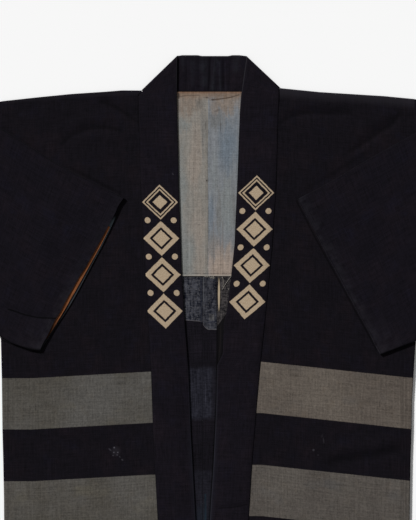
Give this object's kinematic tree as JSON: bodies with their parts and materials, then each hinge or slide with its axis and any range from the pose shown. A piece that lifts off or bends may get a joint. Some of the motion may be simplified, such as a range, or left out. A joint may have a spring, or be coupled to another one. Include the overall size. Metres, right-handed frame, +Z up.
{
  "type": "happi coat",
  "caption": "Indigo cotton happi coat laid flat with its front up and its short wide sleeves folded forward over the fronts, with taupe stripes and a light neck lining.",
  "frame": {"origin": "middle of the laid coat's outline, on the surface that it lies on", "axes": "+Z up off the surface; +Y from the hem to the collar; +X to the right seen from above, which is the wearer's left"},
  "size_m": [0.8912, 0.94, 0.008],
  "materials": {
    "indigo": "matt plain-woven cotton dyed nearly black, with taupe stripes and cream resist-dyed motifs",
    "lining": "thin faded cotton",
    "facing": "thin brown cotton"
  },
  "bodies": {
    "root": {"body_left": "indigo", "body_right": "indigo", "collar": "indigo", "sleeve_left": "indigo", "sleeve_right": "indigo", "lining_left": "lining", "lining_right": "lining", "cuff_facing": "facing"}
  },
  "joints": []
}
